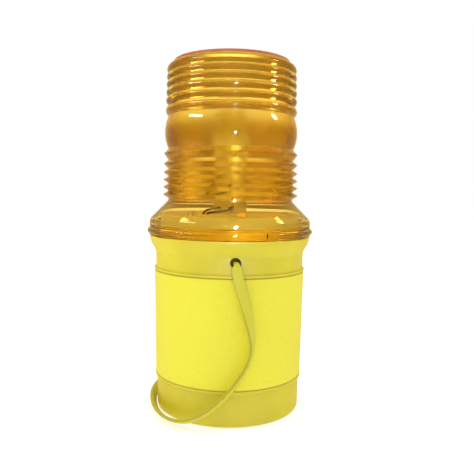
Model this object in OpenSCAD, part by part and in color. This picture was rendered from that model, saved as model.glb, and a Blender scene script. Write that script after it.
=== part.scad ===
// Portable road hazard lantern: a yellow battery case with a reflective sleeve, a strap handle,
// and a ribbed amber all-round lens over a lamp post.
// Millimetres. +Z is up and the case stands on z = 0. The lamp axis is the Z axis.
// -Y is the front. The strap handle hangs on the -X side.

/* [Case] */
// Radius of the case at its foot
base_r = 51.4; // [50.6:0.1:52.2]
// Radius of the neck, just below the flare
neck_r = 53.1; // [52.6:0.1:53.4]
// Height at which the neck flares out
flare_z = 112.3; // [111.5:0.1:113]
// Radius of the mouth
mouth_r = 57.4; // [57.2:0.1:57.7]
// Height of the mouth's top edge
mouth_z = 123.4; // [123.3:0.1:123.6]
// Wall thickness of the case
wall = 2.2; // [1.8:0.1:2.4]
// Height of the lower sleeve ridge
ridge_low_z = 24; // [20:1:34]
// Height of the upper sleeve ridge
ridge_high_z = 100.3; // [96:0.1:101]
// Thickness of the reflective sleeve
sleeve_t = 1; // [0.5:0.1:1.2]
// Radius of the two strap holes
strap_hole_r = 3.4; // [3.2:0.1:3.6]

/* [Lens] */
// Outer radius of the rim bead
bead_r = 59.4; // [58.8:0.1:60]
// Height of the rim bead
bead_z = 127; // [126.6:0.1:127.4]
// Outer radius of the shoulder
shoulder_r = 57.75; // [57.4:0.05:58]
// Radius at the bottom of the grooves
groove_r = 44.7; // [44.2:0.1:45]
// Radius of the smooth inside wall
bore_r = 42.3; // [41:0.1:42.6]
// Radius of the lowest prism crest
prism_r = 48.5; // [47.5:0.1:49]
// Radius of the middle of the plain band
band_r = 47.2; // [46.5:0.1:47.8]
// Radius of the lowest upper rib
rib_r = 46.7; // [46.2:0.1:47.2]
// Radius of the flat top
top_r = 41.2; // [40:0.1:41.6]
// Overall height
lens_top_z = 246.4; // [246:0.1:248]
// How far the lens turns to lock, in degrees
lock_turn = 28; // [20:1:28]

/* [Lamp] */
// Width of the square lamp post
post_w = 17; // [14:0.5:18]
// Height of the light source
light_z = 196.5; // [190:0.5:200]
// Number of LEDs round the lamp head
led_count = 6; // [4:1:6]

/* [Battery] */
// Width of the square lantern battery
battery_w = 67; // [60:1:67]
// Corner radius of the battery
battery_corner_r = 10; // [8:1:14]

/* [Handle] */
// Width of the strap
strap_w = 7; // [6:0.2:7.4]
// Thickness of the strap
strap_t = 2.2; // [1.8:0.1:2.4]
// Width of the tongue that passes through the hole
tongue_w = 3.6; // [3:0.2:4.2]
// Height of the handle pivot
pivot_z = 109; // [108.8:0.1:109.2]

/* [Hidden] */
$fn = 96;

YELLOW = [0.87, 0.81, 0.25];
SLEEVE_YELLOW = [0.96, 0.92, 0.25];
AMBER = [0.93, 0.62, 0.1, 0.5];
CREAM = [0.9, 0.87, 0.74];
BUFF = [0.68, 0.6, 0.42];
STEEL = [0.72, 0.72, 0.73];
BRASS = [0.8, 0.65, 0.3];
BLACK = [0.08, 0.08, 0.09];
GREEN = [0.1, 0.36, 0.2];

// Case heights
foot_round = 2;
foot_recess = 1;
foot_ring_r = 44;
floor_z = 3.2;
ridge_h = 1.8;
ridge_out = 1.25;
sleeve_low_z = ridge_low_z + ridge_h / 2;
sleeve_high_z = ridge_high_z - ridge_h / 2;
sleeve_gap = 0.2;
sleeve_seam = 0.6;

// Radius of the tapered case wall at height z
function case_r(z) = base_r + (neck_r - base_r) * z / flare_z;

// Bayonet at the mouth
lip_z = 121.7;
lip_r = 53.2;
lug_gap_r = 54.6;
lug_r = 54.2;
lug_low_z = 119.5;
lug_high_z = 121.3;
lug_span = 22;
entry_span = 30;
lug_count = 3;
gasket_in_r = 55.4;
gasket_out_r = 56.8;
gasket_low_z = mouth_z - 1;
gasket_high_z = mouth_z + 0.2;

// Seats inside the case that carry the contact tray
seat_z = 114.2;
seat_low_z = 107;
seat_in_r = 47.2;
seat_span = 12;
key_in_r = 48.8;
key_span = 5;
key_h = 2.1;

// Battery
battery_low_z = floor_z + 2;
jacket_top_z = 97;
jacket_t = 0.6;
cell_r = (battery_w - 2 * jacket_t) / 4 - 0.3;
cell_at = cell_r + 0.15;
cover_top_z = 100.6;
spring_top_z = 113.6;
corner_spring_at = 22.5;
rib_t = 1.8;
rib_side = 18;
rib_top_z = 90;

// Head: tray, board and deck
tray_low_z = seat_z + 0.3;
tray_high_z = tray_low_z + 2;
tray_r = 50;
deck_r = 50.3;
deck_low_z = 134.6;
deck_top_z = 137.2;
skirt_low_z = tray_high_z + 0.2;
skirt_t = 1.8;
board_z = 122;
board_t = 1.6;
board_r = 38.5;
pillar_at_r = 39.8;
pillar_angles = [226, 346, 106];
screw_r = 1.5;
screw_head_r = 3;
contact_low_z = tray_low_z - 0.8;
ring_in_r = 26;
ring_out_r = 36;
rivet_places = [[0, 0], [31, 0], [-15.5, 26.8], [-15.5, -26.8]];
lead_hole = [-18.8, -20.4];
photocell_at = [4.5, -40];
switch_at = 42;
switch_travel = 4;

// Lamp head
post_wall = 3;
post_plug_w = post_w - 3;
post_top_z = 188;
led_r = 2.5;
holder_r = 7;
holder_low_z = post_top_z + 1.6;
holder_high_z = 2 * light_z - holder_low_z;

// Lens
lens_low_z = mouth_z + 0.3;
spigot_out_r = 52.8;
spigot_in_r = 51;
spigot_low_z = 117.2;
shelf_z = 130.3;
shoulder_in_r = 55.1;
lens_wall = 2.6;
shoulder_round = 4;
shoulder_top_z = 133.4;
neck_z = 148.2;
prism_crests = [152.5, 157.8, 162.9, 168.2, 174.2, 181.4];
prism_lows = [149.8, 155.1, 160.3, 165.4, 170.7, 177, 184.9];
prism_crest_step = 0.14;
rib_crests = [211.2, 218.4, 224, 229.5, 234.8, 240];
rib_lows = [207.9, 215.4, 221.3, 227.2, 232.5, 237.5];
rib_crest_step = 0.16;
rib_fullness = 0.8;
notch_w = 0.9;
notch_depth = 1.1;
notch_angle = 289;

// Strap handle: half of its route, from the front button round to the middle of the loop.
// The other half is its mirror image.
HALF_ROUTE = [
    [0, -49.8, 109], [0, -52.6, 109], [0.2, -55.2, 108.3], [0.2, -56.4, 105.8],
    [0.9, -56.8, 101], [3.1, -56.9, 93], [6, -57, 83.5], [8.6, -57.4, 73],
    [10.2, -57.9, 63], [10.4, -58.2, 54], [7.8, -58, 44], [2.4, -57.9, 34.5],
    [-4.4, -57.8, 25.5], [-12.8, -57.3, 17], [-21.8, -55.8, 10.4], [-31.4, -52.4, 6],
    [-40.4, -46, 4.4], [-47.6, -35.4, 4.2], [-52.6, -20, 4.4], [-54.6, 0, 4.8]
];
// The way the strap's outer face looks at each of those points
HALF_FACE = [
    [0, 0, 1], [0, 0, 1], [0, -0.6, 0.8], [0, -1, 0.2],
    [0, -1, 0], [0.1, -1, 0], [0.3, -1, 0], [0.6, -0.85, 0],
    [0.85, -0.55, 0], [1, -0.35, -0.1], [0.9, -0.4, -0.35], [0.75, -0.5, -0.55],
    [0.6, -0.6, -0.7], [0.4, -0.6, -0.8], [0.2, -0.55, -0.8], [-0.1, -0.45, -0.85],
    [-0.4, -0.35, -0.85], [-0.6, -0.3, -0.75], [-0.8, -0.15, -0.6], [-0.9, 0, -0.45]
];
tongue_points = 3;
rings_per_step = 2;
button_r = 4.6;
button_in_y = 48.2;
button_out_y = 50.2;

// Leads from the post to the hole in the deck
LEAD_BLACK = [
    [0, -3.5, 143.2], [-0.2, -8, 142.6], [-1, -12.6, 141.8], [-4, -15.8, 140.6],
    [-8.5, -17.8, 139.6], [-13.5, -19.2, 139], [-16.6, -20, 138.4], [-17.7, -20.3, 136.6],
    [-17.7, -20.3, 133], [-14, -17, 129.5], [-9, -13, 127], [-8, -12, 125.2], [-8, -12, 123.72]
];
LEAD_RED = [
    [-5, -1.5, 144], [-7.5, -3, 143.4], [-10.5, -5.2, 142.8], [-14, -9, 142],
    [-17, -13.6, 140.9], [-19, -17.4, 139.4], [-19.8, -19.6, 137.6], [-19.9, -20.4, 135.5],
    [-19.9, -20.4, 133], [-19, -21, 129.5], [-16, -20, 127], [-14.5, -19, 125.2], [-14.5, -19, 123.72]
];
lead_r = 0.95;

// ---- Helpers ----

function unit(v) = v / norm(v);

// Point at t between p1 and p2 on a smooth curve through four points
function curve(p0, p1, p2, p3, t) =
    0.5 * (2 * p1 + (p2 - p0) * t + (2 * p0 - 5 * p1 + 4 * p2 - p3) * t * t
        + (3 * p1 - p0 - 3 * p2 + p3) * t * t * t);

// A list made finer, n steps to each gap
function smoothed(list, n) = [
    for (i = [0 : len(list) - 2], k = [0 : n - 1])
        curve(list[max(i - 1, 0)], list[i], list[i + 1], list[min(i + 2, len(list) - 1)], k / n),
    list[len(list) - 1]
];

function heading(path, i) = unit(path[min(i + 1, len(path) - 1)] - path[max(i - 1, 0)]);

function square_to(v, axis) = unit(v - (v * axis) * axis);

// One ring of a sweep: the section laid at a point, with its face turned towards a direction
function ring_at(point, axis, face, section) =
    let (up = square_to(face, axis), side = cross(axis, up))
    [for (s = section) point + side * s[0] + up * s[1]];

// Closed sweep of sections along a path
module sweep(path, faces, sections) {
    count = len(sections[0]);
    last = len(path) - 1;
    points = [for (i = [0 : last]) each ring_at(path[i], heading(path, i), faces[i], sections[i])];
    sides = [
        for (i = [0 : last - 1], k = [0 : count - 1])
            let (a = i * count + k, b = i * count + (k + 1) % count)
            each [[a, a + count, b], [b, a + count, b + count]]
    ];
    start_cap = [for (k = [1 : count - 2]) [0, k, k + 1]];
    end_cap = [for (k = [1 : count - 2]) [last * count, last * count + k + 1, last * count + k]];
    polyhedron(points = points, faces = concat(sides, start_cap, end_cap), convexity = 10);
}

function round_section(r, n) = [for (k = [0 : n - 1]) r * [cos(360 * k / n), sin(360 * k / n)]];

// Flat strap section with eased edges
function strap_section(w, t, ease = 0.6) = [
    [w / 2, t / 2 - ease], [w / 2 - ease, t / 2], [ease - w / 2, t / 2], [-w / 2, t / 2 - ease],
    [-w / 2, ease - t / 2], [ease - w / 2, -t / 2], [w / 2 - ease, -t / 2], [w / 2, ease - t / 2]
];

// Round wire or lead along hand-placed points
module lead(route, r) {
    path = smoothed(route, 2);
    sweep(path, [for (p = path) [0.3, 0.2, 1]], [for (p = path) round_section(r, 8)]);
}

// Conical spring terminal standing on the battery
module battery_spring(turns = 4, wide_r = 8, top_r = 3.5, wire_r = 0.65) {
    steps = 14 * turns;
    low = cover_top_z + wire_r;
    rise = spring_top_z - wire_r - low;
    path = [
        for (i = [0 : steps])
            let (f = i / steps, r = wide_r + (top_r - wide_r) * f, a = 360 * turns * f)
            [r * cos(a), r * sin(a), low + rise * f]
    ];
    sweep(path, [for (p = path) [0, 0, 1]], [for (p = path) round_section(wire_r, 6)]);
}

// Part of a ring between two radii and two heights
module arc_block(in_r, out_r, low, high, middle, span) {
    rotate([0, 0, middle - span / 2])
        rotate_extrude(angle = span)
            translate([in_r, low])
                square([out_r - in_r, high - low]);
}

module round_square(w, r) {
    flat = w / 2 - r;
    square([w, 2 * flat], center = true);
    square([2 * flat, w], center = true);
    for (x = [-flat, flat], y = [-flat, flat])
        translate([x, y])
            circle(r);
}

// Pan-head screw with a cross recess, its head standing on height z
module pan_screw(z, length, shank_r = screw_r, head_r = screw_head_r, head_h = 2.2) {
    difference() {
        union() {
            translate([0, 0, z - length])
                cylinder(r = shank_r, h = length);
            translate([0, 0, z])
                cylinder(r1 = head_r, r2 = head_r - 0.8, h = head_h);
        }
        for (turn = [0, 90])
            rotate([0, 0, turn])
                translate([-head_r * 0.55, -0.4, z + head_h - 1.1])
                    cube([head_r * 1.1, 0.8, 2]);
    }
}

// ---- Case ----

// Half section of the case: up the outside, down the inside
module case_section() {
    outside = concat(
        [[0, foot_recess], [foot_ring_r - 1, foot_recess], [foot_ring_r, 0]],
        [for (a = [-90 : 15 : 0])
            [base_r - foot_round + foot_round * cos(a), foot_round + foot_round * sin(a)]],
        ridge_points(ridge_low_z),
        ridge_points(ridge_high_z),
        [[neck_r, flare_z], [54.3, 114.7], [55.5, 116.9], [56.35, 118.5], [56.9, 119.8], [57.25, 121.1],
         [mouth_r, 122.4], [mouth_r, mouth_z - 0.4], [mouth_r - 0.4, mouth_z]]
    );
    inside = [
        [gasket_out_r, mouth_z], [gasket_out_r, gasket_low_z],
        [gasket_in_r, gasket_low_z], [gasket_in_r, mouth_z],
        [lip_r, mouth_z], [lip_r, lip_z], [55.3, lip_z], [54.8, 119.2],
        [neck_r - wall, flare_z + 0.3], [base_r - wall, floor_z + 2],
        [base_r - wall - 2, floor_z], [0, floor_z]
    ];
    polygon(concat(outside, inside));
}

// Small ring that stands out from the case and holds one edge of the sleeve
function ridge_points(z) = [
    [case_r(z), z - ridge_h / 2], [case_r(z) + ridge_out - 0.4, z - ridge_h / 2],
    [case_r(z) + ridge_out, z - ridge_h / 2 + 0.4], [case_r(z) + ridge_out, z + ridge_h / 2 - 0.4],
    [case_r(z) + ridge_out - 0.4, z + ridge_h / 2], [case_r(z), z + ridge_h / 2]
];

// Upright ribs that keep the battery central
module battery_ribs() {
    reach = 50 - battery_w / 2;
    intersection() {
        for (turn = [0 : 90 : 270], side = [-rib_side, rib_side])
            rotate([0, 0, turn])
                translate([battery_w / 2 + 0.4, side - rib_t / 2, floor_z - 0.5])
                    cube([reach, rib_t, rib_top_z - floor_z]);
        cylinder(r = base_r - 0.4, h = rib_top_z + 10);
    }
}

module case_shell() {
    color(YELLOW) difference() {
        union() {
            rotate_extrude()
                case_section();
            battery_ribs();
            for (turn = [45 : 90 : 315])
                arc_block(seat_in_r, neck_r - 0.8, seat_low_z, seat_z, turn, seat_span);
            for (turn = [135, 315])
                arc_block(key_in_r, neck_r + 0.2, seat_z - 0.1, seat_z + key_h, turn, key_span);
            for (i = [0 : lug_count - 1])
                arc_block(53.6, 55.6, lug_low_z - 0.3, lip_z + 0.2, lock_stop_angle(i), 3);
        }
        for (i = [0 : lug_count - 1])
            arc_block(lip_r - 1, lug_gap_r, lip_z - 0.1, mouth_z + 1, entry_angle(i), entry_span);
        for (y = [-58, 45])
            translate([-0.6, y, pivot_z + 0.6])
                rotate([-90, 0, 0])
                    cylinder(r = strap_hole_r, h = 13);
    }
}

function entry_angle(i) = 30 + 360 * i / lug_count;

// Block that stops each lug at the end of the locking turn
function lock_stop_angle(i) = entry_angle(i) - lug_span / 2 - lock_turn - 3;

module reflective_sleeve() {
    low = sleeve_low_z + sleeve_gap;
    high = sleeve_high_z - sleeve_gap;
    color(SLEEVE_YELLOW) difference() {
        rotate_extrude()
            polygon([[case_r(low) + 0.02, low], [case_r(low) + sleeve_t, low],
                     [case_r(high) + sleeve_t, high], [case_r(high) + 0.02, high]]);
        rotate([0, 0, 60])
            translate([50, -sleeve_seam / 2, low - 1])
                cube([6, sleeve_seam, high - low + 2]);
    }
}

module case_gasket() {
    color(BLACK) rotate_extrude()
        translate([gasket_in_r, gasket_low_z])
            square([gasket_out_r - gasket_in_r, gasket_high_z - gasket_low_z]);
}

// ---- Battery ----

module battery_pad() {
    color([0.2, 0.2, 0.2]) translate([0, 0, floor_z])
        linear_extrude(battery_low_z - floor_z)
            round_square(battery_w - 4, battery_corner_r);
}

module battery_jacket() {
    color([0.25, 0.3, 0.42]) translate([0, 0, battery_low_z])
        difference() {
            linear_extrude(jacket_top_z - battery_low_z)
                round_square(battery_w, battery_corner_r);
            translate([0, 0, jacket_t])
                linear_extrude(jacket_top_z - battery_low_z)
                    round_square(battery_w - 2 * jacket_t, battery_corner_r - jacket_t);
        }
}

module battery_cells() {
    color(STEEL) for (x = [-cell_at, cell_at], y = [-cell_at, cell_at])
        translate([x, y, battery_low_z + jacket_t])
            cylinder(r = cell_r, h = jacket_top_z - battery_low_z - jacket_t - 1);
}

module battery_cover() {
    color(BLACK) {
        translate([0, 0, jacket_top_z])
            linear_extrude(cover_top_z - jacket_top_z - 1)
                round_square(battery_w, battery_corner_r);
        translate([0, 0, cover_top_z - 1.2])
            linear_extrude(1.2)
                round_square(battery_w - 3, battery_corner_r - 1.5);
    }
}

module battery_spring_centre() {
    color(STEEL) battery_spring();
}

module battery_spring_corner() {
    color(STEEL) translate([corner_spring_at, corner_spring_at, 0])
        battery_spring(wide_r = 6.5, top_r = 3);
}

// ---- Head ----

module at_pillars() {
    for (turn = pillar_angles)
        rotate([0, 0, turn])
            translate([pillar_at_r, 0, 0])
                children();
}

module deck_plate() {
    color(CREAM) difference() {
        union() {
            rotate_extrude()
                polygon([[0, deck_low_z], [deck_r - skirt_t, deck_low_z], [deck_r - skirt_t, skirt_low_z],
                         [deck_r, skirt_low_z], [deck_r, deck_top_z - 0.6], [deck_r - 0.6, deck_top_z],
                         [0, deck_top_z]]);
            for (turn = [20 : 120 : 260])
                arc_block(deck_r - 0.5, 52.7, shelf_z + 0.3, shelf_z + 2.5, turn, 14);
        }
        at_pillars()
            translate([0, 0, deck_low_z - 1])
                cylinder(r = screw_r + 0.2, h = 5);
        translate([lead_hole[0], lead_hole[1], deck_low_z - 1])
            cylinder(r = 2.6, h = 5);
        translate([0, 0, deck_low_z - 1])
            linear_extrude(5)
                rotate(45)
                    square(post_plug_w + 0.2, center = true);
    }
}

module contact_tray() {
    color(CREAM) difference() {
        union() {
            translate([0, 0, tray_low_z])
                cylinder(r = tray_r, h = tray_high_z - tray_low_z);
            rotate_extrude()
                translate([47.2, tray_high_z - 0.1])
                    square([1, 3]);
            at_pillars() {
                translate([0, 0, tray_high_z - 0.1])
                    cylinder(r = 4.2, h = board_z - tray_high_z + 0.1);
                translate([0, 0, board_z - 0.1])
                    cylinder(r = 3, h = deck_low_z - board_z + 0.1);
            }
        }
        at_pillars()
            translate([0, 0, deck_low_z - 12])
                cylinder(r = screw_r + 0.05, h = 13);
        for (turn = [135, 315])
            arc_block(key_in_r - 0.4, 53, tray_low_z - 1, tray_high_z + 0.5, turn, key_span + 1.5);
        for (p = rivet_places)
            translate([p[0], p[1], tray_low_z - 1])
                cylinder(r = 1.25, h = 4);
    }
}

module contact_centre() {
    color(BRASS) translate([0, 0, contact_low_z])
        cylinder(r = 9, h = tray_low_z - contact_low_z);
}

module contact_ring() {
    color(BRASS) translate([0, 0, contact_low_z])
        difference() {
            cylinder(r = ring_out_r, h = tray_low_z - contact_low_z);
            translate([0, 0, -1])
                cylinder(r = ring_in_r, h = 3);
        }
}

module contact_rivets() {
    color(BRASS) for (p = rivet_places)
        translate([p[0], p[1], 0]) {
            translate([0, 0, tray_low_z])
                cylinder(r = 1.2, h = tray_high_z - tray_low_z);
            translate([0, 0, tray_high_z])
                cylinder(r1 = 2.6, r2 = 1.8, h = 1.1);
        }
}

// Stiff wires that carry the battery current up from the rivets to the board
module contact_leads() {
    color(BRASS) for (p = [rivet_places[0], rivet_places[1]])
        translate([p[0], p[1], tray_high_z + 1.1])
            cylinder(r = 0.7, h = board_z - tray_high_z - 1.1);
}

module circuit_board() {
    color(GREEN) difference() {
        translate([0, 0, board_z])
            cylinder(r = board_r, h = board_t);
        at_pillars()
            translate([0, 0, board_z - 1])
                cylinder(r = 3.2, h = 4);
    }
}

module controller_chip() {
    color(BLACK) translate([12, 4, board_z + board_t])
        linear_extrude(2.4)
            difference() {
                square([7, 19], center = true);
                translate([0, 9.5])
                    circle(1);
            }
}

module capacitor() {
    color([0.15, 0.2, 0.35]) translate([-14, 14, board_z + board_t]) {
        cylinder(r = 4, h = 9);
        translate([0, 0, 9])
            cylinder(r1 = 4, r2 = 3.4, h = 0.6);
    }
}

module switch_body() {
    color(BLACK) difference() {
        translate([switch_at - 4.2, -7, tray_low_z - 6.5])
            cube([8.4, 14, 6.5]);
        translate([switch_at - 1.3, -1.3 - switch_travel / 2, tray_low_z - 7])
            cube([2.6, 2.6 + switch_travel, 4]);
    }
}

module switch_knob() {
    color([0.85, 0.2, 0.12]) translate([switch_at, -switch_travel / 2, 0]) {
        translate([-1, -1, tray_low_z - 6.8])
            cube([2, 2, 3]);
        translate([-2.2, -1.6, tray_low_z - 8.8])
            cube([4.4, 3.2, 2]);
    }
}

module photocell() {
    color([0.9, 0.6, 0.2]) translate([photocell_at[0], photocell_at[1], deck_top_z]) {
        cylinder(r = 2.6, h = 1.6);
        translate([0, 0, 1.6])
            cylinder(r1 = 2.3, r2 = 1.7, h = 1.2);
    }
}

module deck_screws() {
    color(STEEL) at_pillars()
        pan_screw(deck_top_z, 12);
}

// ---- Lamp ----

// Square hollow post, set corner to the front, with openings for the two leads
module lamp_post() {
    color(BUFF) difference() {
        union() {
            post_bar(post_w, deck_top_z, post_top_z);
            post_bar(post_plug_w, deck_low_z, deck_top_z + 0.1);
        }
        post_bar(post_w - 2 * post_wall, deck_low_z - 1, post_top_z - 2);
        translate([-2, -16, 140.4])
            cube([3.4, 12, 4]);
        translate([-9, -4.2, 143.1])
            rotate([0, 90, 35])
                cylinder(r = 1.6, h = 8, center = true);
    }
}

module post_bar(w, low, high) {
    translate([0, 0, low])
        linear_extrude(high - low)
            rotate(45)
                square(w, center = true);
}

module led_board() {
    color([0.85, 0.84, 0.8]) translate([0, 0, post_top_z])
        cylinder(r = 11, h = holder_low_z - post_top_z);
}

module led_holder() {
    color(BUFF) translate([0, 0, holder_low_z])
        cylinder(r = holder_r / cos(180 / led_count), h = holder_high_z - holder_low_z, $fn = led_count);
}

// LEDs that point outwards from the faces of the holder
module leds() {
    color([1, 0.75, 0.3]) for (i = [0 : led_count - 1])
        rotate([0, 0, 360 * (i + 0.5) / led_count])
            translate([holder_r, 0, light_z])
                rotate([0, 90, 0]) {
                    cylinder(r = led_r + 0.4, h = 1);
                    cylinder(r = led_r, h = 5.6);
                    translate([0, 0, 5.6])
                        sphere(r = led_r);
                }
}

module led_cap() {
    color(BUFF) translate([0, 0, holder_high_z]) {
        cylinder(r = 10.5, h = 1.2);
        translate([0, 0, 1.2])
            cylinder(r1 = 10.5, r2 = 8.6, h = 1.4);
    }
}

module lead_black() {
    color(BLACK) lead(LEAD_BLACK, lead_r);
}

module lead_red() {
    color([0.3, 0.06, 0.04]) lead(LEAD_RED, lead_r);
}

// ---- Lens ----

// Saw-tooth prisms: a long lower face, a blunt crest and a short upper face
function prism_points() = [
    for (i = [0 : len(prism_crests) - 1])
        let (r = prism_r - prism_crest_step * i, z = prism_crests[i])
        each [[groove_r, prism_lows[i]], [r - 0.25, z - 0.3], [r, z], [r - 0.3, z + 0.3]],
    [groove_r, prism_lows[len(prism_lows) - 1]]
];

// Plain band: an arc from the last prism groove to the first rib groove
function band_points(steps = 14) =
    let (
        low = prism_lows[len(prism_lows) - 1],
        half = (rib_lows[0] - low) / 2,
        rise = band_r - groove_r,
        r = (half * half + rise * rise) / (2 * rise),
        reach = asin(half / r)
    )
    [for (i = [1 : steps - 1])
        let (a = -reach + 2 * reach * i / steps)
        [band_r - r + r * cos(a), low + half + r * sin(a)]];

// Round ribs above the band
function rib_points(steps = 6) = [
    for (i = [0 : len(rib_crests) - 1])
        let (
            r = rib_r - rib_crest_step * i,
            low = rib_lows[i],
            high = i < len(rib_crests) - 1 ? rib_lows[i + 1] : rib_crests[i] + 2.6,
            crest = rib_crests[i]
        )
        each [
            for (k = [0 : steps - 1])
                let (z = low + (high - low) * k / steps, side = z < crest ? crest - low : high - crest)
                [groove_r + (r - groove_r) * pow(cos(90 * (z - crest) / side), rib_fullness), z]
        ]
];

module lens_section() {
    rim = concat(
        [[spigot_in_r, spigot_low_z], [spigot_out_r, spigot_low_z], [spigot_out_r, lens_low_z],
         [53.6, lens_low_z], [53.6, 128.2], [55.2, 128.2], [55.2, lens_low_z], [57.8, lens_low_z]],
        [for (a = [-72 : 16 : 72]) [bead_r - 2.3 + 2.3 * cos(a), bead_z + 2.3 * sin(a)]],
        [for (a = [0 : 11.25 : 45]) [shoulder_r - shoulder_round + shoulder_round * cos(a),
                                     shoulder_top_z + shoulder_round * sin(a)]],
        [[groove_r + 0.5, neck_z - 0.4], [groove_r, neck_z + 0.6]]
    );
    top = [[44.6, 242.6], [top_r + 0.5, 244.8], [top_r, 245.1], [top_r, lens_top_z - 0.4],
           [top_r - 0.4, lens_top_z], [0, lens_top_z]];
    inside = [
        [0, lens_top_z - 3], [bore_r - 2.8, lens_top_z - 3], [bore_r, 240.6], [bore_r, neck_z - 0.6],
        [shoulder_in_r - 0.6, 134.9], [shoulder_in_r, 133.4],
        [shoulder_in_r, shelf_z], [spigot_in_r, shelf_z]
    ];
    polygon(concat(rim, prism_points(), band_points(), rib_points(), top, inside));
}

module lens() {
    color(AMBER) difference() {
        union() {
            rotate_extrude()
                lens_section();
            for (i = [0 : lug_count - 1])
                arc_block(spigot_out_r - 0.5, lug_r, lug_low_z, lug_high_z, entry_angle(i), lug_span);
        }
        rotate([0, 0, notch_angle])
            translate([bead_r - 0.4 - notch_depth, -notch_w / 2, lens_low_z - 1])
                cube([4, notch_w, 7]);
    }
}

// ---- Handle ----

module handle_strap() {
    mirrored = function (list) [for (i = [len(list) - 2 : -1 : 0]) [list[i][0], -list[i][1], list[i][2]]];
    route = concat(HALF_ROUTE, mirrored(HALF_ROUTE));
    facing = concat(HALF_FACE, mirrored(HALF_FACE));
    last = len(route) - 1;
    widths = [for (i = [0 : last]) min(i, last - i) < tongue_points ? tongue_w : strap_w];
    path = smoothed(route, rings_per_step);
    faces = smoothed(facing, rings_per_step);
    wide = smoothed(widths, rings_per_step);
    color(YELLOW) sweep(path, faces, [for (w = wide) strap_section(w, strap_t)]);
}

// Round end moulded on the strap, too large to pull back through the hole
module handle_button() {
    translate([0, -button_out_y, pivot_z])
        rotate([-90, 0, 0])
            cylinder(r = button_r, h = button_out_y - button_in_y);
}

module handle_button_front() {
    color(YELLOW) handle_button();
}

module handle_button_rear() {
    color(YELLOW) mirror([0, 1, 0])
        handle_button();
}

case_shell();
reflective_sleeve();
case_gasket();
battery_pad();
battery_jacket();
battery_cells();
battery_cover();
battery_spring_centre();
battery_spring_corner();
deck_plate();
contact_tray();
contact_centre();
contact_ring();
contact_rivets();
contact_leads();
circuit_board();
controller_chip();
capacitor();
switch_body();
switch_knob();
photocell();
deck_screws();
lamp_post();
led_board();
led_holder();
leds();
led_cap();
lead_black();
lead_red();
lens();
handle_strap();
handle_button_front();
handle_button_rear();
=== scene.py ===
"""Portable all-round hazard lantern: yellow battery case, reflective sleeve, strap handle and
amber ribbed lens."""

import math

import bmesh
import bpy
from mathutils import Euler, Matrix, Vector


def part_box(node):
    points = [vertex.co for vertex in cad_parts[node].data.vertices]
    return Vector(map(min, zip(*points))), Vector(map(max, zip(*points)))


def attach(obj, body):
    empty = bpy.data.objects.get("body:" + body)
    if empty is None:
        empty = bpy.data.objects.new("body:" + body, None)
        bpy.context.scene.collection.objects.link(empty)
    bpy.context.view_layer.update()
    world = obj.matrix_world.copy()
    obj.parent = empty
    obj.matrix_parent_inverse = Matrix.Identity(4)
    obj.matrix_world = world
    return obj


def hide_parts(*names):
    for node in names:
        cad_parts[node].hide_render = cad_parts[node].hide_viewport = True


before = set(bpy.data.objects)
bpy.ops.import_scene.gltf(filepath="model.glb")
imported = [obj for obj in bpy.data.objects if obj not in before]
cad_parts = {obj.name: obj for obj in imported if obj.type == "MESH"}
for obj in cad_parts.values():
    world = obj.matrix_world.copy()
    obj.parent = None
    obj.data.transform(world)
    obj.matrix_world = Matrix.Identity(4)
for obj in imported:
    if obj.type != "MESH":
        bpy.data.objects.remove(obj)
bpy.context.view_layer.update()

MM = 0.001  # sizes below are in millimetres, as in the CAD source

# ---------------------------------------------------------------- sizes

LENS_LOW, LENS_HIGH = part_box("lens")
LENS_TOP_Z = LENS_HIGH.z / MM
SPIGOT_LOW_Z = LENS_LOW.z / MM
BEAD_R = LENS_HIGH.x / MM
BEAD_Z = 127.0
BEAD_ROUND = 2.3
RIM_LOW_Z = 123.7
RIM_LOW_R = 57.8
CHANNEL_TOP_Z = 128.2
CHANNEL_IN_R, CHANNEL_OUT_R = 53.6, 55.8
SHELF_Z = 130.3
SHOULDER_R = 57.75
SHOULDER_ROUND = 4.0
SHOULDER_TOP_Z = 133.4
SHOULDER_IN_R = 55.1
SHOULDER_IN_EASE, SHOULDER_IN_TOP_Z = 0.6, 134.9  # where the inside of the shoulder turns in
NECK_Z = 148.2
GROOVE_R = 44.7
BORE_R = 42.3
BORE_TOP_Z = 240.6
BORE_SLOPE = 2.8  # how far the bore narrows from there to the underside of the top
SPIGOT_OUT_R = 52.8
SPIGOT_IN_R = 51.0
LUG_R = 54.2
LUG_LOW_Z = 119.5
LUG_HIGH_Z = 121.3
LUG_SPAN = 22.0
LUG_ANGLES = [30.0, 150.0, 270.0]
NOTCH_ANGLE = 289.0
NOTCH_W = 0.9
NOTCH_R = BEAD_R - 1.5
NOTCH_TOP_Z = 129.7
PRISM_CRESTS = [152.5, 157.8, 162.9, 168.2, 174.2, 181.4]
PRISM_LOWS = [149.8, 155.1, 160.3, 165.4, 170.7, 177.0, 184.9]
PRISM_R = 48.5
PRISM_STEP = 0.14
BAND_R = 47.2
RIB_CRESTS = [211.2, 218.4, 224.0, 229.5, 234.8, 240.0]
RIB_LOWS = [207.9, 215.4, 221.3, 227.2, 232.5, 237.5]
RIB_R = 46.7
RIB_STEP = 0.16
RIB_FULLNESS = 0.8
RIB_LAST_RISE = 2.6  # from the crest of the last rib to its upper edge
SLOPE_R, SLOPE_Z = 44.6, 242.6  # where the slope up to the top starts
TOP_R = 41.2
TOP_T = 3.0
LENS_TURNS = 240  # faces round the lens
EDGE_ROUND = 0.4

SLEEVE_LOW_Z, SLEEVE_HIGH_Z = (corner.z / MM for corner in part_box("reflective_sleeve"))
FOOT_TOP_Z = SLEEVE_LOW_Z + 3  # painted shade darkens the case below this
FOOT_FADE = 6  # height over which that painted shade comes in
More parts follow.
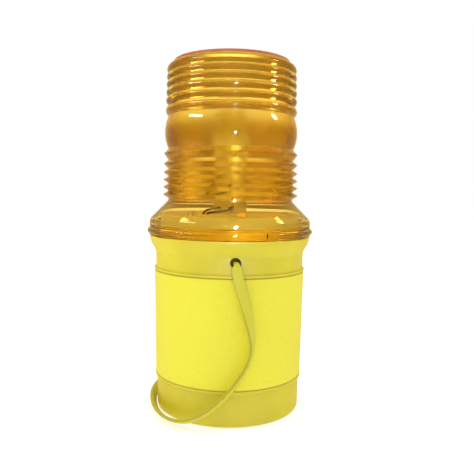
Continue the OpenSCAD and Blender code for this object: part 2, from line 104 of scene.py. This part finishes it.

# Strap: half of its route and the way its outer face looks, as in part.scad
HALF_ROUTE = [
    (0, -49.8, 109), (0, -52.6, 109), (0.2, -55.2, 108.3), (0.2, -56.4, 105.8),
    (0.9, -56.8, 101), (3.1, -56.9, 93), (6, -57, 83.5), (8.6, -57.4, 73),
    (10.2, -57.9, 63), (10.4, -58.2, 54), (7.8, -58, 44), (2.4, -57.9, 34.5),
    (-4.4, -57.8, 25.5), (-12.8, -57.3, 17), (-21.8, -55.8, 10.4), (-31.4, -52.4, 6),
    (-40.4, -46, 4.4), (-47.6, -35.4, 4.2), (-52.6, -20, 4.4), (-54.6, 0, 4.8),
]
HALF_FACE = [
    (0, 0, 1), (0, 0, 1), (0, -0.6, 0.8), (0, -1, 0.2),
    (0, -1, 0), (0.1, -1, 0), (0.3, -1, 0), (0.6, -0.85, 0),
    (0.85, -0.55, 0), (1, -0.35, -0.1), (0.9, -0.4, -0.35), (0.75, -0.5, -0.55),
    (0.6, -0.6, -0.7), (0.4, -0.6, -0.8), (0.2, -0.55, -0.8), (-0.1, -0.45, -0.85),
    (-0.4, -0.35, -0.85), (-0.6, -0.3, -0.75), (-0.8, -0.15, -0.6), (-0.9, 0, -0.45),
]
HOLE_Z = 109.0
HOLE_R = 3.4
STRAP_W = 6.9
STRAP_T = 2.1
TONGUE_W = 3.6
TONGUE_POINTS = 3
STRAP_RINGS = 5  # rings to each step of the route
STRAP_EASE = 0.55
EDGE_SHADE_WIDTH = 0.3  # width of the painted shade line along the strap edges

# ---------------------------------------------------------------- mesh helpers


def mesh_object(name, bm):
    mesh = bpy.data.meshes.new(name)
    bm.to_mesh(mesh)
    bm.free()
    obj = bpy.data.objects.new(name, mesh)
    bpy.context.scene.collection.objects.link(obj)
    return obj


def mark_sharp(bm, degrees=32):
    limit = math.radians(degrees)
    for face in bm.faces:
        face.smooth = True
    for edge in bm.edges:
        edge.smooth = len(edge.link_faces) == 2 and edge.calc_face_angle(0) < limit


def filleted(points, radius, steps=3, least=24):
    """A closed profile with every corner that turns more than least degrees rounded."""
    out = []
    n = len(points)
    for i in range(n):
        before, here, after = (Vector(points[(i + k) % n]) for k in (-1, 0, 1))
        a, b = before - here, after - here
        if a.length < 1e-6 or b.length < 1e-6:
            continue
        turn = math.pi - a.angle(b)
        if here.x < 1e-6 or math.degrees(turn) < least:
            out.append(here)
            continue
        half = (math.pi - turn) / 2
        cut = min(radius / math.tan(half), 0.42 * a.length, 0.42 * b.length)
        start, end = here + a.normalized() * cut, here + b.normalized() * cut
        for k in range(steps + 1):
            t = k / steps
            out.append(start * (1 - t) ** 2 + here * 2 * t * (1 - t) + end * t ** 2)
    return out


# ---------------------------------------------------------------- lens


def lens_outside():
    """Outer side of the lens from the bottom of the spigot to the top, as (radius, height)."""
    rim = [
        (SPIGOT_IN_R, SPIGOT_LOW_Z), (SPIGOT_OUT_R, SPIGOT_LOW_Z),
        (SPIGOT_OUT_R, LUG_LOW_Z), (SPIGOT_OUT_R, LUG_LOW_Z + 0.1),
        (SPIGOT_OUT_R, LUG_HIGH_Z - 0.1), (SPIGOT_OUT_R, LUG_HIGH_Z),
        (SPIGOT_OUT_R, RIM_LOW_Z), (CHANNEL_IN_R, RIM_LOW_Z), (CHANNEL_IN_R, CHANNEL_TOP_Z),
        (CHANNEL_OUT_R, CHANNEL_TOP_Z), (CHANNEL_OUT_R, RIM_LOW_Z), (RIM_LOW_R, RIM_LOW_Z),
    ]
    bead = [
        (BEAD_R - BEAD_ROUND + BEAD_ROUND * math.cos(math.radians(a)),
         BEAD_Z + BEAD_ROUND * math.sin(math.radians(a)))
        for a in range(-72, 73, 12)
    ]
    shoulder = [
        (SHOULDER_R - SHOULDER_ROUND * (1 - math.cos(math.radians(a))),
         SHOULDER_TOP_Z + SHOULDER_ROUND * math.sin(math.radians(a)))
        for a in (0, 7.5, 15, 22.5, 30, 37.5, 45)
    ]
    neck = [(GROOVE_R + 0.5, NECK_Z - 0.4), (GROOVE_R, NECK_Z + 0.6)]
    prisms = []
    for i, z in enumerate(PRISM_CRESTS):
        r = PRISM_R - PRISM_STEP * i
        prisms += [(GROOVE_R, PRISM_LOWS[i]), (r - 0.25, z - 0.3), (r, z), (r - 0.3, z + 0.3)]
    prisms.append((GROOVE_R, PRISM_LOWS[-1]))
    return rim + bead + shoulder + neck + prisms + band_points() + rib_points()


def band_points(steps=18):
    """The bulging plain band, an arc between the prisms and the ribs."""
    low, high = PRISM_LOWS[-1], RIB_LOWS[0]
    half, rise = (high - low) / 2, BAND_R - GROOVE_R
    r = (half * half + rise * rise) / (2 * rise)
    reach = math.asin(half / r)
    angles = [-reach + 2 * reach * i / steps for i in range(1, steps)]
    return [(BAND_R - r + r * math.cos(a), low + half + r * math.sin(a)) for a in angles]


def rib_points(steps=14):
    """The round upper ribs, each a little smaller than the one below it."""
    points = []
    for i, crest in enumerate(RIB_CRESTS):
        r, low = RIB_R - RIB_STEP * i, RIB_LOWS[i]
        high = RIB_LOWS[i + 1] if i + 1 < len(RIB_CRESTS) else crest + RIB_LAST_RISE
        for k in range(steps):
            z = low + (high - low) * k / steps
            side = crest - low if z < crest else high - crest
            full = max(math.cos(math.pi / 2 * (z - crest) / side), 0) ** RIB_FULLNESS
            points.append((GROOVE_R + (r - GROOVE_R) * full, z))
    return points


def lens_profile():
    """Closed half section of the lens: up the outside, down the inside."""
    top = [
        (SLOPE_R, SLOPE_Z), (TOP_R + 0.5, LENS_TOP_Z - 1.6), (TOP_R, LENS_TOP_Z - 1.3),
        (TOP_R, LENS_TOP_Z - 0.4), (TOP_R - 0.4, LENS_TOP_Z), (0, LENS_TOP_Z),
    ]
    inside = [
        (0, LENS_TOP_Z - TOP_T), (BORE_R - BORE_SLOPE, LENS_TOP_Z - TOP_T),
        (BORE_R, BORE_TOP_Z), (BORE_R, NECK_Z - 0.6),
        (SHOULDER_IN_R - SHOULDER_IN_EASE, SHOULDER_IN_TOP_Z),
        (SHOULDER_IN_R, SHOULDER_TOP_Z), (SHOULDER_IN_R, SHELF_Z), (SPIGOT_IN_R, SHELF_Z),
    ]
    return filleted(lens_outside() + top + inside, EDGE_ROUND)


def lens_angles():
    """Angles of the lens columns, in close pairs at the lug and notch edges, and half the notch."""
    angles = {360 * i / LENS_TURNS for i in range(LENS_TURNS)}
    notch_half = math.degrees(NOTCH_W / 2 / BEAD_R)
    edges = [NOTCH_ANGLE - notch_half, NOTCH_ANGLE + notch_half]
    for a in LUG_ANGLES:
        edges += [a - LUG_SPAN / 2, a + LUG_SPAN / 2]
    for e in edges:
        angles = {a for a in angles if abs(a - e) > 0.3} | {e - 0.06, e + 0.06}
    return sorted(angles), notch_half


def lens_radius(r, z, angle, notch_half):
    """The lathe's radius with the bayonet lugs pushed out and the rim notch pushed in."""
    on_lug = any(abs(angle - a) < LUG_SPAN / 2 for a in LUG_ANGLES)
    if on_lug and LUG_LOW_Z < z < LUG_HIGH_Z and r > SPIGOT_OUT_R - 0.4 and r < 53:
        return LUG_R
    if abs(angle - NOTCH_ANGLE) < notch_half and r > NOTCH_R and z < NOTCH_TOP_Z:
        return NOTCH_R
    return r


def build_lens():
    """The profile turned round the lamp axis, with single vertices on the axis."""
    profile = lens_profile()
    angles, notch_half = lens_angles()
    bm = bmesh.new()
    columns = []
    poles = {}
    for angle in angles:
        c, s = math.cos(math.radians(angle)), math.sin(math.radians(angle))
        column = []
        for i, p in enumerate(profile):
            if p.x < 1e-6:
                if i not in poles:
                    poles[i] = bm.verts.new((0, 0, p.y * MM))
                column.append(poles[i])
                continue
            r = lens_radius(p.x, p.y, angle, notch_half)
            column.append(bm.verts.new((r * c * MM, r * s * MM, p.y * MM)))
        columns.append(column)
    count = len(profile)
    for i, column in enumerate(columns):
        after = columns[(i + 1) % len(columns)]
        for k in range(count):
            m = (k + 1) % count
            corners = [column[k], after[k], after[m], column[m]]
            kept = [v for j, v in enumerate(corners) if v not in corners[:j]]
            if len(kept) > 2:
                bm.faces.new(kept)
    bmesh.ops.recalc_face_normals(bm, faces=bm.faces)
    mark_sharp(bm)
    return mesh_object("lens_moulding", bm)


# ---------------------------------------------------------------- strap


def curve_point(p0, p1, p2, p3, t):
    """Point at t between p1 and p2 on a smooth curve through four points."""
    return 0.5 * (2 * p1 + (p2 - p0) * t + (2 * p0 - 5 * p1 + 4 * p2 - p3) * t * t
                  + (3 * p1 - p0 - 3 * p2 + p3) * t ** 3)


def smoothed(items, n):
    """A list made finer, n steps to each gap."""
    last = len(items) - 1
    out = []
    for i in range(last):
        around = [items[max(i - 1, 0)], items[i], items[i + 1], items[min(i + 2, last)]]
        out += [curve_point(*around, k / n) for k in range(n)]
    return out + [items[last]]


def both_halves(half):
    there = [Vector(p) for p in half]
    return there + [Vector((p.x, -p.y, p.z)) for p in reversed(there[:-1])]


def strap_section(w, t, steps=4):
    """Cross-section with rounded corners, as (across, out) pairs."""
    points = []
    for quarter, (sx, sy) in enumerate([(1, 1), (-1, 1), (-1, -1), (1, -1)]):
        for k in range(steps + 1):
            a = math.radians(90 * quarter + 90 * k / steps)
            across = sx * (w / 2 - STRAP_EASE) + STRAP_EASE * math.cos(a)
            out = sy * (t / 2 - STRAP_EASE) + STRAP_EASE * math.sin(a)
            points.append((across, out))
    return points


def strap_widths():
    """Width at each ring of the strap: full, and narrowed to a tongue at both ends."""
    tongue = [TONGUE_W] * TONGUE_POINTS
    middle = [STRAP_W] * (2 * len(HALF_ROUTE) - 1 - 2 * TONGUE_POINTS)
    widths = smoothed(tongue + middle + tongue, STRAP_RINGS)
    return [min(max(w, TONGUE_W), STRAP_W) for w in widths]


def build_strap():
    """The strap section laid along its route, with its long edges marked for painted shade."""
    route = smoothed(both_halves(HALF_ROUTE), STRAP_RINGS)
    facing = smoothed(both_halves(HALF_FACE), STRAP_RINGS)
    widths = strap_widths()
    last = len(route) - 1
    bm = bmesh.new()
    edge = bm.verts.layers.float.new("edge")
    rings = []
    for i, point in enumerate(route):
        axis = (route[min(i + 1, last)] - route[max(i - 1, 0)]).normalized()
        up = facing[i] - axis * facing[i].dot(axis)
        up.normalize()
        side = axis.cross(up)
        section = strap_section(widths[i], STRAP_T)
        rings.append([bm.verts.new((point + side * a + up * b) * MM) for a, b in section])
        # The marked long edges get painted shade
        for vert, (a, _) in zip(rings[-1], section):
            vert[edge] = 1.0 if abs(a) > widths[i] / 2 - EDGE_SHADE_WIDTH else 0.0
    n = len(rings[0])
    for one, two in zip(rings, rings[1:]):
        for k in range(n):
            bm.faces.new([one[k], two[k], two[(k + 1) % n], one[(k + 1) % n]])
    bm.faces.new(rings[0])
    bm.faces.new(list(reversed(rings[-1])))
    bmesh.ops.recalc_face_normals(bm, faces=bm.faces)
    mark_sharp(bm, 50)
    return mesh_object("strap", bm)


# ---------------------------------------------------------------- node trees

MIX_SOCKETS = {"RGBA": (6, 7, 2), "FLOAT": (2, 3, 0)}  # inputs A and B, and the output


class Nodes:
    """Short way to write a node tree."""

    def __init__(self, tree):
        self.tree = tree

    def new(self, kind):
        return self.tree.nodes.new("ShaderNode" + kind)

    def feed(self, socket, value):
        """Give a socket a number, a colour or another node's output."""
        if isinstance(value, (int, float)):
            socket.default_value = value
        elif isinstance(value, tuple):
            socket.default_value = (*value, 1)
        else:
            self.tree.links.new(value, socket)

    def ramp(self, source, low, high, a=0.0, b=1.0):
        """a where the source is at low, b where it is at high, and a straight change between."""
        node = self.new("MapRange")
        for key, value in (("From Min", low), ("From Max", high), ("To Min", a), ("To Max", b)):
            node.inputs[key].default_value = value
        self.feed(node.inputs["Value"], source)
        return node.outputs[0]

    def math(self, kind, a, b):
        node = self.new("Math")
        node.operation = kind
        for socket, value in zip(node.inputs, (a, b)):
            self.feed(socket, value)
        return node.outputs[0]

    def mix(self, fac, a, b, kind="RGBA"):
        """Between two colours, or between two numbers if kind is FLOAT."""
        node = self.new("Mix")
        node.data_type = kind
        first, second, out = MIX_SOCKETS[kind]
        for i, value in ((0, fac), (first, a), (second, b)):
            self.feed(node.inputs[i], value)
        return node.outputs[out]


class Material(Nodes):
    """A Principled material, patterned in object coordinates."""

    def __init__(self, name):
        self.material = bpy.data.materials.new(name)
        self.material.use_nodes = True
        super().__init__(self.material.node_tree)
        self.tree.nodes.clear()
        self.out = self.new("OutputMaterial")
        self.bsdf = self.new("BsdfPrincipled")
        self.feed(self.out.inputs["Surface"], self.bsdf.outputs[0])
        self.coords = self.new("TexCoord").outputs["Object"]

    def set(self, **values):
        for key, value in values.items():
            socket = key.replace("_", " ").title().replace("Ior", "IOR")
            self.bsdf.inputs[socket].default_value = value

    def scaled(self, scale):
        node = self.new("Mapping")
        node.inputs["Scale"].default_value = scale
        self.feed(node.inputs["Vector"], self.coords)
        return node.outputs[0]

    def distance(self, scale, centre=(0, 0, 0)):
        """Distance from centre along the axes whose scale is 1."""
        node = self.new("VectorMath")
        node.operation = "DISTANCE"
        self.feed(node.inputs[0], self.scaled(scale))
        node.inputs[1].default_value = centre
        return node.outputs["Value"]

    def by_height(self, low, high, a=0.0, b=1.0):
        """a at the height low and b at the height high, both in millimetres."""
        node = self.new("SeparateXYZ")
        self.feed(node.inputs[0], self.coords)
        return self.ramp(node.outputs["Z"], low * MM, high * MM, a, b)

    def attribute(self, name):
        node = self.new("Attribute")
        node.attribute_name = name
        return node.outputs["Fac"]

    def noise(self, size, detail=3.0, rough=0.55, stretch=(1, 1, 1)):
        """Noise whose features are about size metres across."""
        node = self.new("TexNoise")
        node.inputs["Scale"].default_value = 1 / size
        node.inputs["Detail"].default_value = detail
        node.inputs["Roughness"].default_value = rough
        self.feed(node.inputs["Vector"], self.scaled(stretch))
        return node.outputs["Fac"]

    def patches(self, size, a=0.0, b=1.0, detail=3.0):
        """Slow change between a and b, in patches about size metres across."""
        return self.ramp(self.noise(size, detail), 0.3, 0.7, a, b)

    def cell_edges(self, size, stretch=(1, 1, 1)):
        """Distance to the nearest wall between cells about size metres across."""
        node = self.new("TexVoronoi")
        node.feature = "DISTANCE_TO_EDGE"
        node.inputs["Scale"].default_value = 1 / size
        self.feed(node.inputs["Vector"], self.scaled(stretch))
        return node.outputs["Distance"]

    def colour(self, source):
        self.feed(self.bsdf.inputs["Base Color"], source)

    def roughness(self, source):
        self.feed(self.bsdf.inputs["Roughness"], source)

    def bump(self, height, distance, strength=1.0):
        node = self.new("Bump")
        node.inputs["Distance"].default_value = distance
        node.inputs["Strength"].default_value = strength
        self.feed(node.inputs["Height"], height)
        self.feed(self.bsdf.inputs["Normal"], node.outputs[0])


# ---------------------------------------------------------------- materials

CASE_YELLOW = (0.77, 0.66, 0.035)
# Random stains; a darkened copy of this colour is painted shade near the ground
CASE_STAIN_AND_SHADE = (0.62, 0.5, 0.06)
# Near-black painted shade inside the strap holes
HOLE_SHADE = (0.07, 0.045, 0.008)
STRAP_YELLOW = (0.71, 0.65, 0.05)
# Painted shade along the strap's side edges
STRAP_EDGE_SHADE = (0.36, 0.29, 0.02)
CREAM = (0.52, 0.48, 0.27)
BUFF = (0.40, 0.33, 0.17)
BLACK = (0.02, 0.02, 0.022)

SHEETING_YELLOWS = (0.88, 0.82, 0.055), (0.90, 0.84, 0.06)
SHEETING_WALL = (0.86, 0.785, 0.045)
# Painted shade lines along the sleeve's top and bottom edges
SHEETING_EDGE_SHADE = (0.52, 0.45, 0.04)

BOARD_MASK, BOARD_TRACK = (0.012, 0.11, 0.04), (0.03, 0.2, 0.07)

JACKET_BLUES = (0.03, 0.055, 0.13), (0.04, 0.07, 0.16)
JACKET_PALE = (0.75, 0.74, 0.7)
PALE_LOW_Z, PALE_HIGH_Z, PALE_EDGE = 69.5, 84.0, 0.5  # pale band of the battery jacket

GLASS_FACE = (1.0, 0.97, 0.9, 1)
GLASS_SHADOW = (0.94, 0.9, 0.8)
GLASS_TINT = (1.0, 0.915, 0.42)
GLASS_DENSITY = 530  # strength of the tint for each metre of depth
SATIN = 0.3  # extra roughness of the lens bore behind the plain band
RIB_SATIN, PRISM_SATIN = 0.15, 0.75  # share of that behind the ribs and behind the prisms
TOP_SATIN = 0.4  # extra roughness of the lens top


def shade(colour, factor):
    return tuple(min(c * factor, 1.0) for c in colour)


def plastic(name, colour, rough=0.35, spread=0.06, stain_and_shade=None, foot=1.0, edge_shade=None):
    """Moulded plastic: slow colour drift, fine grain and patchy gloss with scuffs.

    A stained one has random stains, painted shade in the strap holes, and painted shade near the
    ground, where foot is the share of its own colour that stays. One with marked edges gets painted
    shade along them.
    """
    m = Material(name)
    m.set(specular_ior_level=0.5)
    base = m.mix(m.patches(0.03), shade(colour, 1 - spread), shade(colour, 1 + spread))
    if stain_and_shade is not None:
        patch = m.ramp(m.noise(0.012, 5, 0.7), 0.58, 0.78, 0, 0.35)
        base = m.mix(patch, base, stain_and_shade)
        # Painted shade: darker towards the ground
        low = m.by_height(FOOT_TOP_Z, FOOT_TOP_Z - FOOT_FADE)
        base = m.mix(m.math("MULTIPLY", low, 1 - foot), base, shade(stain_and_shade, 0.4))
        # Painted shade inside the strap holes
        from_hole = m.distance((1, 0, 1), (0, 0, HOLE_Z * MM))
        hole = m.ramp(from_hole, (HOLE_R + 0.2) * MM, HOLE_R * MM, 0, 0.9)
        base = m.mix(hole, base, HOLE_SHADE)
    # Painted shade along the strap's marked side edges
    if edge_shade is not None:
        base = m.mix(m.math("MULTIPLY", m.attribute("edge"), 0.6), base, edge_shade)
    m.colour(base)
    scuff = m.ramp(m.noise(0.004, 2, 0.5, (1, 1, 0.12)), 0.62, 0.72, 0, 0.12)
    patchy = m.patches(0.009, rough - 0.06, rough + 0.08, 4)
    m.roughness(m.math("ADD", patchy, scuff))
    m.bump(m.noise(0.0008, 2), 0.00002)
    return m.material


def metal(name, colour, rough=0.3, brushed=(1, 1, 0.05)):
    """Metal with fine lines, which run along Z unless brushed says otherwise."""
    m = Material(name)
    m.set(metallic=1.0)
    m.colour(m.mix(m.patches(0.008), shade(colour, 0.85), colour))
    lines = m.noise(0.0006, 3, 0.6, brushed)
    m.roughness(m.ramp(lines, 0.25, 0.75, rough - 0.1, rough + 0.15))
    m.bump(lines, 0.00001)
    return m.material


def amber_glass(name):
    """Clear amber moulding whose tint comes from depth, so that thick edges go orange.

    Lamps shine through it. The bore and the top are satin, and every other face is clear.
    """
    m = Material(name)
    m.set(base_color=GLASS_FACE, transmission_weight=1.0, ior=1.49)
    in_bore = m.ramp(m.distance((1, 1, 0)), (BORE_R + 1.3) * MM, (BORE_R + 0.7) * MM)
    above_neck = m.by_height(NECK_Z - 2, NECK_Z)
    below_ribs = m.by_height(RIB_LOWS[1], RIB_LOWS[0], RIB_SATIN * SATIN, SATIN)
    above_prisms = m.by_height(PRISM_LOWS[-1] - 2, PRISM_LOWS[-1], PRISM_SATIN, 1.0)
    in_top = m.by_height(LENS_TOP_Z - TOP_T - 0.2, LENS_TOP_Z - TOP_T + 0.4, 0, TOP_SATIN)
    in_bore = m.math("MULTIPLY", in_bore, above_neck)
    amount = m.math("MULTIPLY", below_ribs, above_prisms)
    satin = m.math("ADD", m.math("MULTIPLY", in_bore, amount), in_top)
    clear_rough = m.ramp(m.noise(0.006, 4), 0.35, 0.75, 0.008, 0.03)
    m.roughness(m.math("ADD", clear_rough, satin))
    m.bump(m.noise(0.02, 2), 0.00003, 0.4)
    clear = m.new("BsdfTransparent")
    m.feed(clear.inputs["Color"], GLASS_SHADOW)
    surface = m.new("MixShader")
    m.feed(surface.inputs[0], m.new("LightPath").outputs["Is Shadow Ray"])
    m.feed(surface.inputs[1], m.bsdf.outputs[0])
    m.feed(surface.inputs[2], clear.outputs[0])
    m.feed(m.out.inputs["Surface"], surface.outputs[0])
    depth = m.new("VolumeAbsorption")
    m.feed(depth.inputs["Color"], GLASS_TINT)
    m.feed(depth.inputs["Density"], GLASS_DENSITY)
    m.feed(m.out.inputs["Volume"], depth.outputs[0])
    return m.material


def reflective_sheeting(name):
    """Reflective sheeting: fine cell pattern under a clear film, with painted shade lines along
    both edges.
    """
    m = Material(name)
    m.set(specular_ior_level=0.25, coat_weight=0.2, coat_roughness=0.12)
    wall = m.ramp(m.cell_edges(0.0024), 0.02, 0.09)
    colour = m.mix(wall, SHEETING_WALL, m.mix(m.patches(0.04), *SHEETING_YELLOWS))
    # Painted shade lines along the top and bottom edges
    sleeve_edge_shade = m.math(
        "MAXIMUM",
        m.by_height(SLEEVE_LOW_Z + 0.9, SLEEVE_LOW_Z + 0.5),
        m.by_height(SLEEVE_HIGH_Z - 0.8, SLEEVE_HIGH_Z - 0.4),
    )
    m.colour(m.mix(sleeve_edge_shade, colour, SHEETING_EDGE_SHADE))
    m.roughness(m.patches(0.005, 0.36, 0.48, 4))
    m.bump(wall, 0.00001, 0.5)
    return m.material


def rubber(name, colour, rough=0.7):
    m = Material(name)
    m.colour(m.mix(m.patches(0.01), shade(colour, 0.8), shade(colour, 1.25)))
    m.roughness(m.patches(0.002, rough - 0.1, rough + 0.1))
    m.bump(m.noise(0.0006, 2), 0.00004)
    return m.material


def board(name):
    """Circuit board: solder mask over copper tracks."""
    m = Material(name)
    track = m.ramp(m.cell_edges(0.0045, (1, 1, 0.01)), 0.03, 0.06)
    m.colour(m.mix(track, BOARD_TRACK, BOARD_MASK))
    m.roughness(m.patches(0.003, 0.22, 0.34))
    m.bump(track, 0.00003)
    return m.material


def jacket(name):
    """Battery jacket: satin printed sheet with a pale band."""
    m = Material(name)
    band = m.math(
        "MULTIPLY",
        m.by_height(PALE_LOW_Z, PALE_LOW_Z + PALE_EDGE),
        m.by_height(PALE_HIGH_Z, PALE_HIGH_Z - PALE_EDGE),
    )
    m.colour(m.mix(band, m.mix(m.patches(0.02), *JACKET_BLUES), JACKET_PALE))
    m.roughness(m.patches(0.006, 0.28, 0.4, 4))
    m.bump(m.noise(0.002), 0.00003)
    return m.material


def led_resin(name):
    m = Material(name)
    m.set(transmission_weight=0.55, ior=1.5)
    m.colour(m.mix(m.patches(0.002), (0.9, 0.84, 0.66), (1.0, 0.95, 0.8)))
    m.roughness(m.patches(0.001, 0.05, 0.12))
    return m.material


looks = {
    "case_shell": plastic("case_yellow", CASE_YELLOW, 0.34, stain_and_shade=CASE_STAIN_AND_SHADE, foot=0.9),
    "reflective_sleeve": reflective_sheeting("sleeve_sheeting"),
    "case_gasket": rubber("seal_black", (0.02, 0.02, 0.02)),
    "battery_pad": rubber("foam_grey", (0.05, 0.05, 0.05), 0.85),
    "battery_jacket": jacket("battery_jacket_print"),
    "battery_cells": metal("cell_zinc", (0.5, 0.5, 0.51), 0.45),
    "battery_cover": plastic("plastic_black", BLACK, 0.4, 0.2),
    "battery_spring_centre": metal("spring_steel", (0.7, 0.7, 0.71), 0.22),
    "deck_plate": plastic("inner_cream", CREAM, 0.45, 0.05),
    "lamp_post": plastic("post_buff", BUFF, 0.45, 0.05),
    "led_board": plastic("board_white", (0.55, 0.52, 0.45), 0.4, 0.04),
    "contact_centre": metal("contact_brass", (0.78, 0.55, 0.22), 0.25),
    "circuit_board": board("board_green"),
    "capacitor": plastic("capacitor_blue", (0.012, 0.02, 0.09), 0.3, 0.2),
    "switch_knob": plastic("knob_red", (0.5, 0.02, 0.01), 0.38),
    "photocell": plastic("cell_amber", (0.9, 0.6, 0.13), 0.2, 0.15),
    "deck_screws": metal("screw_steel", (0.62, 0.62, 0.63), 0.3, (1, 1, 1)),
    "lead_black": rubber("lead_black", (0.01, 0.01, 0.01), 0.5),
    "lead_red": rubber("lead_red", (0.06, 0.005, 0.004), 0.5),
    "leds": led_resin("led_clear"),
}
same_look = {
    "battery_spring_corner": "battery_spring_centre",
    "contact_tray": "deck_plate",
    "led_holder": "lamp_post",
    "led_cap": "lamp_post",
    "contact_ring": "contact_centre",
    "contact_rivets": "contact_centre",
    "contact_leads": "contact_centre",
    "controller_chip": "battery_cover",
    "switch_body": "battery_cover",
    "handle_button_front": "case_shell",
    "handle_button_rear": "case_shell",
}

for node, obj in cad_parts.items():
    look = looks.get(same_look.get(node, node))
    if look is not None:
        obj.data.materials.clear()
        obj.data.materials.append(look)

# ---------------------------------------------------------------- pieces

lens = build_lens()
lens.data.materials.append(amber_glass("lens_amber"))
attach(lens, "lens")
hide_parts("lens")

strap = build_strap()
strap.data.materials.append(plastic("strap_yellow", STRAP_YELLOW, 0.36, 0.05, edge_shade=STRAP_EDGE_SHADE))
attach(strap, "handle")
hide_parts("handle_strap")

# ---------------------------------------------------------------- floor, light and camera

FLOOR_SIZE = 3.0  # half its side, in metres
FLOOR_GAP = 0.0002  # below the foot of the case
FLOOR_GLOW = 0.52

LIGHTS_AIM = Vector((0, 0, 0.17))

# Brightness of the surroundings: seen behind the lantern, seen through the lens, and as light on
# matt surfaces. In reflections they are dim at the front and bright at the back.
BACKDROP, THROUGH, AMBIENT = 1.0, 0.25, 0.42
MIRRORED_FRONT, MIRRORED_BACK = 0.13, 0.95
MIRRORED_COLOUR = (1.0, 0.72, 0.32)

FRAME_PX = 474
FOCAL_PX = 562.0
SHIFT_PX = 7.35
SENSOR = 36.0
CAMERA_AT = (-0.0342, -0.4074, 0.1542)
CAMERA_DOWN, CAMERA_TURN, CAMERA_ROLL = 4.5, -4.8, 0.84  # degrees


def build_floor():
    """Pale matt floor that merges with the backdrop."""
    bm = bmesh.new()
    bmesh.ops.create_grid(bm, x_segments=2, y_segments=2, size=FLOOR_SIZE)
    obj = mesh_object("floor", bm)
    m = Material("floor")
    m.colour(m.mix(m.patches(0.4), (0.69, 0.69, 0.69), (0.71, 0.71, 0.71)))
    m.roughness(m.patches(0.1, 0.75, 0.85))
    m.set(emission_color=(1, 1, 1, 1), emission_strength=FLOOR_GLOW)
    obj.data.materials.append(m.material)
    obj.location.z = -FLOOR_GAP
    obj.visible_glossy = False


def area_light(name, azimuth, elevation, distance, width, height, power):
    """A soft box that looks at the lens from a direction, in degrees, metres and watts.

    The azimuth is 0 at the front and 90 on the +X side.
    """
    data = bpy.data.lights.new(name, "AREA")
    data.shape = "RECTANGLE"
    data.size, data.size_y = width, height
    data.energy = power
    obj = bpy.data.objects.new(name, data)
    bpy.context.scene.collection.objects.link(obj)
    a, e = math.radians(azimuth), math.radians(elevation)
    away = Vector((math.sin(a) * math.cos(e), -math.cos(a) * math.cos(e), math.sin(e)))
    obj.location = LIGHTS_AIM + away * distance
    obj.rotation_mode = "QUATERNION"
    obj.rotation_quaternion = away.to_track_quat("Z", "Y")
    return obj


def glint_lamp(receivers):
    """A small lamp near the front that only makes glints, and only on the receivers."""
    lamp = area_light("flash", 2.2, -5, distance=0.42, width=0.028, height=0.036, power=1.0)
    lamp.visible_diffuse = False
    lamp.visible_transmission = False
    glints = bpy.data.collections.new("glints")
    for obj in receivers:
        glints.objects.link(obj)
    lamp.light_linking.receiver_collection = glints


def overhead_light():
    data = bpy.data.lights.new("overhead", "SUN")
    data.energy = 1.27
    data.angle = math.radians(50)
    obj = bpy.data.objects.new("overhead", data)
    obj.visible_glossy = False
    bpy.context.scene.collection.objects.link(obj)


def surroundings():
    """A plain studio whose brightness depends on how a ray reaches it."""
    world = bpy.data.worlds.new("studio")
    world.use_nodes = True
    w = Nodes(world.node_tree)
    background = w.tree.nodes["Background"].inputs
    rays = w.new("LightPath").outputs
    w.feed(background["Color"], w.mix(rays["Is Glossy Ray"], (1, 1, 1), MIRRORED_COLOUR))
    way = w.new("SeparateXYZ")
    w.feed(way.inputs[0], w.new("TexCoord").outputs["Generated"])
    mirrored = w.ramp(way.outputs["Y"], -0.2, 0.9, MIRRORED_FRONT, MIRRORED_BACK)
    level = AMBIENT
    for ray, strength in (
        ("Is Glossy Ray", mirrored), ("Is Transmission Ray", THROUGH), ("Is Camera Ray", BACKDROP),
    ):
        level = w.mix(rays[ray], level, strength, "FLOAT")
    w.feed(background["Strength"], level)
    return world


def build_camera():
    data = bpy.data.cameras.new("camera")
    data.sensor_width = SENSOR
    data.lens = FOCAL_PX / FRAME_PX * SENSOR
    data.shift_x = SHIFT_PX / FRAME_PX
    data.clip_start = 0.01
    obj = bpy.data.objects.new("camera", data)
    bpy.context.scene.collection.objects.link(obj)
    obj.location = CAMERA_AT
    aim = Euler((math.radians(90 - CAMERA_DOWN), 0, math.radians(CAMERA_TURN)), "XYZ").to_matrix()
    roll = Matrix.Rotation(math.radians(CAMERA_ROLL), 3, "Z")
    obj.rotation_mode = "QUATERNION"
    obj.rotation_quaternion = (aim @ roll).to_quaternion()
    return obj


build_floor()
area_light("left_box", -74, 33, distance=0.9, width=0.4, height=0.1, power=2.2)
area_light("right_box", 80, 31, distance=0.9, width=0.13, height=0.18, power=1.35)
glint_lamp((lens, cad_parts["case_shell"]))
fill = area_light("front_fill", -2, 20, distance=1.6, width=1.4, height=0.9, power=2.85)
fill.visible_glossy = False
overhead_light()

scene = bpy.context.scene
scene.world = surroundings()
scene.view_settings.view_transform = "Standard"
scene.camera = build_camera()

bpy.context.view_layer.update()
